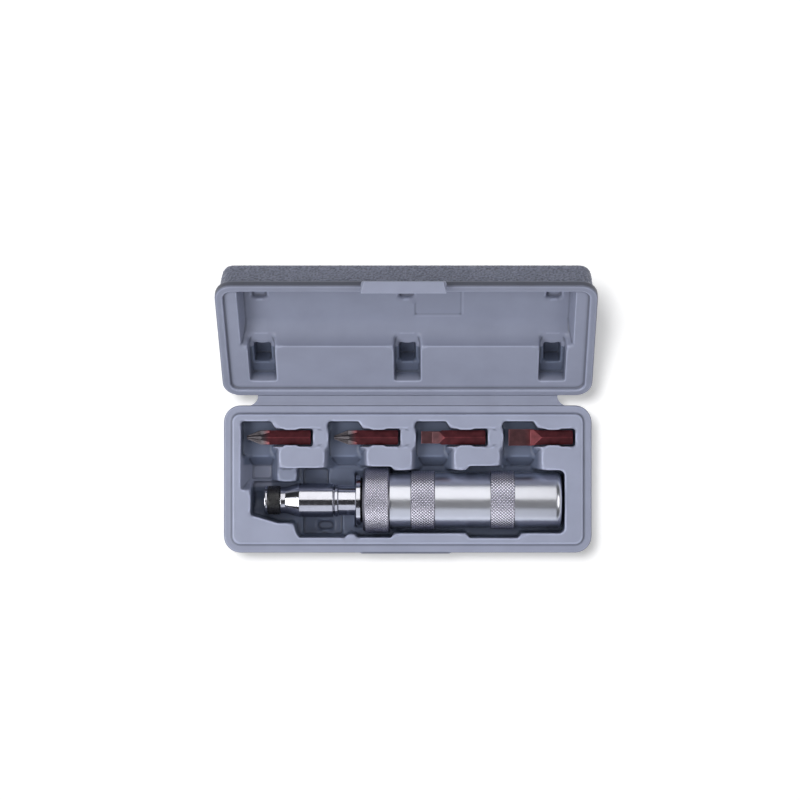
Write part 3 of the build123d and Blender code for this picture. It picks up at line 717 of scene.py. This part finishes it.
def web():
    """Living hinge: flat web that flares at the base's rim and is thinner along its middle."""
    near = case_depth / 2
    far = near + web_length
    rows = 24
    columns = 120
    verts = []
    for side in (0, 1):
        for i in range(rows + 1):
            t = i / rows
            y = near + (far - near) * t
            reach = web_half + web_flare * (1 - t) ** 3
            thin = web_thinning * sin(pi * t) ** 2
            top = rim_z - web_drop - thin
            low = rim_z - web_thickness + thin
            lean = 0.0 if side == 0 else web_thickness * t
            for j in range(columns + 1):
                x = -reach + 2 * reach * j / columns
                verts.append((x, y + lean, top if side == 0 else low))
    faces = []
    row = columns + 1
    layer = row * (rows + 1)
    for i in range(rows):
        for j in range(columns):
            a = i * row + j
            faces.append((a, a + 1, a + row + 1, a + row))
            faces.append((layer + a, layer + a + row, layer + a + row + 1, layer + a + 1))
    edge = list(range(row))
    edge += [i * row + columns for i in range(1, rows + 1)]
    edge += [rows * row + j for j in range(columns - 1, -1, -1)]
    edge += [i * row for i in range(rows - 1, 0, -1)]
    for k, a in enumerate(edge):
        b = edge[(k + 1) % len(edge)]
        faces.append((a, layer + a, layer + b, b))
    piece = mesh_from("hinge_web", np.array(verts) * mm, faces)
    smooth(piece, 40.0)
    return piece


strip = web()
dress(strip, lid_shaded_plastic)
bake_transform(strip)
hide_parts("hinge_strip")

# Driver sleeve and collar: radii, and places along X

around_body = 52
pitch_body = 1.894
depth_body = 0.5
fade_body = 0.5
count_body = around_body * knurl_points
sleeve_r = 15.55
band_r = 16.45
bore_r = 10.1
seat_r = 14.8
sleeve_front = -19.3
shoulder = -10.2
bore_end = 46.0
struck_end = 86.3
bands = ((1.6, 15.3), (46.3, 60.0))
body_rings = rounded([
    (bore_end, 0.0), (bore_end, bore_r), (sleeve_front, bore_r), (sleeve_front, seat_r), (-10.3, seat_r),
    (shoulder, sleeve_r), (bands[0][0], sleeve_r),
])[1:-1]
body_rings += [(1.58, sleeve_r)]
body_rings += knurl_rings(bands[0], band_r, sleeve_r, pitch_body, around_body, depth_body, fade_body)
body_rings += [(x, sleeve_r) for x in (15.32, 15.6, 30.0, 46.0, 46.28)]
body_rings += knurl_rings(bands[1], band_r, sleeve_r, pitch_body, around_body, depth_body, fade_body)
body_rings += rounded([
    (bands[1][1], sleeve_r), (60.3, sleeve_r), (struck_end, sleeve_r, 3.3), (struck_end, 0.4),
], steps=10)[1:]
sleeve = lathe("knurled_sleeve", widened(body_rings, count_body), count_body)
trace_grooves(sleeve, band_r, depth_body)
smooth(sleeve, 50.0)
dress(sleeve, chrome)
sleeve.data.materials.append(knurl_chrome)
outer_r = 15.5
for face in sleeve.data.polygons:
    x = face.center.x / mm
    inside = any(start < x < end for start, end in bands)
    far = sqrt((face.center.y / mm - axis_y) ** 2 + (face.center.z / mm - axis_z) ** 2)
    if inside and far > outer_r:
        face.material_index = 1
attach(sleeve, "sleeve")
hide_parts("driver_body")

around_collar = 68
pitch_collar = 1.533
depth_collar = 0.42
fade_collar = 0.3
count_collar = around_collar * knurl_points
collar_r = 18.35
collar_bore = 14.83
collar_front = -25.2
collar_rings = [(shoulder, 16.2)]
collar_rings += rounded([
    (shoulder, 17.0), (shoulder, collar_bore), (collar_front, collar_bore), (collar_front, 16.95),
    (-24.0, 18.0),
])[1:-1]
collar_rings += knurl_rings(
    (-23.9, -10.9), collar_r, 18.0, pitch_collar, around_collar, depth_collar, fade_collar
)
collar_rings += [(-10.6, 17.9), (-10.3, 17.7), (shoulder, 17.4)]


def ring_lathe(name, rings, count):
    """Turned ring: as lathe, but its last ring joins its first."""
    piece = lathe(name, rings, count)
    bm = bmesh.new()
    bm.from_mesh(piece.data)
    bm.verts.ensure_lookup_table()
    ends = [bm.verts[len(rings) * count], bm.verts[len(rings) * count + 1]]
    bmesh.ops.delete(bm, geom=ends, context="VERTS")
    bm.verts.ensure_lookup_table()
    last = (len(rings) - 1) * count
    for k in range(count):
        n = (k + 1) % count
        bm.faces.new((bm.verts[last + k], bm.verts[last + n], bm.verts[n], bm.verts[k]))
    bmesh.ops.recalc_face_normals(bm, faces=bm.faces)
    bm.to_mesh(piece.data)
    bm.free()
    return piece


collar = ring_lathe("knurled_ring", widened(collar_rings, count_collar), count_collar)
trace_grooves(collar, collar_r, depth_collar)
smooth(collar, 50.0)
dress(collar, knurl_chrome)
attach(collar, "sleeve")
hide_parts("knurled_collar")

# Bit holder and its rubber band: radii, and places along X

count_holder = 288
nose = -80.7
holder_end = -41.6
hex_floor = -62.2
square_floor = -57.4
groove_front = -78.9
groove_rear = -71.8
groove_r = 6.45
nose_r = 8.2
neck_r = 7.35
holder_r = 9.7
hex_mouth = 5.0
square_mouth = 6.9
hex_hole = hexagon(8.12, count_holder)
square_hole = square(12.86, 1.35, count_holder)
holder_rings = [(hex_floor, hex_hole * 0.02), (hex_floor, hex_hole * 0.96), (-62.3, hex_hole)]
holder_rings += [(-80.15, hex_hole), (-80.4, np.maximum(hex_hole, 4.5))]
holder_rings += [(nose, np.maximum(hex_hole, hex_mouth))]
holder_rings += rounded([
    (nose, hex_mouth), (nose, nose_r, 0.7), (groove_front, nose_r, 0.3), (groove_front, groove_r),
    (groove_rear, groove_r), (groove_rear, neck_r, 0.5), (-68.7, neck_r, 1.6), (-61.1, holder_r, 1.2),
    (-42.2, holder_r, 0.2), (holder_end, 9.1, 0.2), (holder_end, square_mouth),
], steps=5)[1:-1]
holder_rings += [(holder_end, np.maximum(square_hole, square_mouth)), (-41.9, square_hole)]
holder_rings += [(-57.3, square_hole), (square_floor, square_hole * 0.97)]
holder_rings += [(square_floor, square_hole * 0.02)]
holder = lathe("bit_socket_holder", widened(holder_rings, count_holder), count_holder)
smooth(holder, 42.0)
dress(holder, polished)
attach(holder, "holder")
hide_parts("bit_holder")

count_band = 192
band_front = -78.85
band_middle = -75.35
band_rear = -71.85
band_rings = rounded([
    (band_middle, groove_r), (band_front, groove_r), (band_front, 8.05, 0.8), (band_middle, 8.1, 4.0),
    (band_rear, 8.05, 0.8), (band_rear, groove_r), (-75.3, groove_r),
], steps=6)[1:-1]
band = ring_lathe("rubber_band", widened(band_rings, count_band), count_band)
smooth(band, 60.0)
dress(band, black_rubber)
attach(band, "holder")
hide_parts("holder_band")

# Bits

bit_voxel = 0.17
bit_rounds = 3
# Dark grey towards each bit's tip: full up to the first distance from the tip and gone at the second, in
# mm; and its share on the cross and the blade bits
tip_grey_reach = (8.5, 13.5)
cross_tip_grey = 0.9
blade_tip_grey = 0.4
for node, name, body, tip_grey in (
    ("cross_bit_left", "cross_tip_left", "bit_one", cross_tip_grey),
    ("cross_bit_right", "cross_tip_right", "bit_two", cross_tip_grey),
    ("narrow_blade_bit", "narrow_blade", "bit_three", blade_tip_grey),
    ("wide_blade_bit", "wide_blade", "bit_four", blade_tip_grey),
):
    bit = softened(node, name, bit_voxel, bit_rounds)
    trace_edges(bit, small_bend, 1)
    along = points_of(bit.data)[:, 0] / mm
    store(bit.data, "tip", tip_grey * (1.0 - ramp(along - along.min(), *tip_grey_reach)))
    dress(bit, bit_coat)
    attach(bit, body)
    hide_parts(node)

# Main spring, between the end of the sleeve's bore and the washer

spring = add_object("main_coil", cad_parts["main_spring"].data.copy())
smooth(spring, 50.0)
dress(spring, steel)
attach(spring, "sleeve")
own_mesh(spring)
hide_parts("main_spring")

# Nodes that keep their own shape

paint_node("spindle", polished)
paint_node("front_seal", black_rubber)
for node in (
    "collar_snap_ring",
    "cam_pin",
    "thrust_washer",
    "drive_ball",
    "drive_ball_spring",
    "holder_ball",
):
    paint_node(node, steel)

# Floor, lights and camera


def ray_material(name, colour, seen, glow):
    """Diffuse ground that adds a plain glow for camera, mirror and glass rays."""
    made = bpy.data.materials.new(name)
    made.use_nodes = True
    tree = made.node_tree
    tree.nodes.clear()
    out = tree.nodes.new("ShaderNodeOutputMaterial")
    diffuse = tree.nodes.new("ShaderNodeBsdfDiffuse")
    diffuse.inputs["Color"].default_value = (*colour, 1.0)
    light = tree.nodes.new("ShaderNodeEmission")
    light.inputs["Color"].default_value = (*seen, 1.0)
    path = tree.nodes.new("ShaderNodeLightPath")
    kinds = tree.nodes.new("ShaderNodeMath")
    kinds.operation = "MAXIMUM"
    more = tree.nodes.new("ShaderNodeMath")
    more.operation = "MAXIMUM"
    times = tree.nodes.new("ShaderNodeMath")
    times.operation = "MULTIPLY"
    times.inputs[1].default_value = glow
    join = tree.nodes.new("ShaderNodeAddShader")
    link = tree.links.new
    link(path.outputs["Is Camera Ray"], kinds.inputs[0])
    link(path.outputs["Is Glossy Ray"], kinds.inputs[1])
    link(kinds.outputs[0], more.inputs[0])
    link(path.outputs["Is Transmission Ray"], more.inputs[1])
    link(more.outputs[0], times.inputs[0])
    link(times.outputs[0], light.inputs["Strength"])
    link(diffuse.outputs[0], join.inputs[0])
    link(light.outputs[0], join.inputs[1])
    link(join.outputs[0], out.inputs["Surface"])
    return made


floor_size = 6.0
floor = mesh_from(
    "floor",
    [(-floor_size, -floor_size, 0.0), (floor_size, -floor_size, 0.0), (floor_size, floor_size, 0.0),
     (-floor_size, floor_size, 0.0)],
    [(0, 1, 2, 3)],
)
floor.data.materials.append(ray_material("pale_floor", (0.8, 0.8, 0.8), (1.0, 1.0, 1.0), 0.43))


def area_light(name, place, target, size_x, size_y, power, colour=(1.0, 1.0, 1.0)):
    data = bpy.data.lights.new(name, "AREA")
    data.shape = "RECTANGLE"
    data.size = size_x
    data.size_y = size_y
    data.energy = power
    data.color = colour
    lamp = bpy.data.objects.new(name, data)
    scene.collection.objects.link(lamp)
    lamp.location = place
    lamp.rotation_euler = (Vector(target) - Vector(place)).to_track_quat("-Z", "Y").to_euler()
    return lamp


def spare_floor(lamp, lit=False):
    """Lets a lamp light everything but the floor, or the floor alone."""
    group = bpy.data.collections.new(lamp.name + "_lights")
    group.objects.link(floor)
    lamp.light_linking.receiver_collection = group
    group.collection_objects[0].light_linking.link_state = "INCLUDE" if lit else "EXCLUDE"


aim = (0.0, 0.0, 0.03)
driver_aim = (-0.015, 0.0, 0.03)
cool = (0.86, 0.90, 1.0)
spare_floor(area_light("rear_softbox", (-0.015, 0.70, 1.13), driver_aim, 0.42, 1.36, 2.8))
spare_floor(area_light("front_softbox", (-0.015, -1.27, 0.82), driver_aim, 0.4, 1.33, 1.65, cool))
spare_floor(area_light("left_softbox", (-1.02, -0.30, 1.38), aim, 1.6, 0.9, 24.0))
spare_floor(area_light("right_softbox", (1.02, -0.10, 1.38), aim, 1.2, 0.9, 8.5))
spare_floor(area_light("floor_lamp", (-0.33, 0.36, 2.4), aim, 0.5, 0.5, 46.0), lit=True)


def studio_world():
    """Cool light that is bright near the horizon and falls off above it."""
    world = bpy.data.worlds.new("studio")
    world.use_nodes = True
    tree = world.node_tree
    tree.nodes.clear()
    out = tree.nodes.new("ShaderNodeOutputWorld")
    sky = tree.nodes.new("ShaderNodeBackground")
    place = tree.nodes.new("ShaderNodeTexCoord")
    parts = tree.nodes.new("ShaderNodeSeparateXYZ")
    fall = tree.nodes.new("ShaderNodeMapRange")
    fall.inputs["From Min"].default_value = 0.08
    fall.inputs["From Max"].default_value = 0.3
    fall.inputs["To Min"].default_value = 0.9
    fall.inputs["To Max"].default_value = 0.03
    sky.inputs["Color"].default_value = (*cool, 1.0)
    tree.links.new(place.outputs["Generated"], parts.inputs["Vector"])
    tree.links.new(parts.outputs["Z"], fall.inputs["Value"])
    tree.links.new(fall.outputs["Result"], sky.inputs["Strength"])
    tree.links.new(sky.outputs[0], out.inputs["Surface"])
    return world


scene.world = studio_world()

# Seen straight from above, a little left of the picture's centre line
focal_px = 2251.8
picture_px = 800.0
shift_px = -41.55
sensor = 36.0
camera_x = 18.97
camera_y = 44.3
camera_z = 1293.9
camera_data = bpy.data.cameras.new("camera")
camera_data.sensor_width = sensor
camera_data.lens = focal_px * sensor / picture_px
camera_data.shift_x = shift_px / picture_px
camera_data.clip_start = 0.05
camera_data.clip_end = 50.0
camera = bpy.data.objects.new("camera", camera_data)
scene.collection.objects.link(camera)
camera.location = (camera_x * mm, camera_y * mm, camera_z * mm)
camera.rotation_euler = (0.0, 0.0, 0.0)
scene.camera = camera

scene.view_settings.view_transform = "Standard"
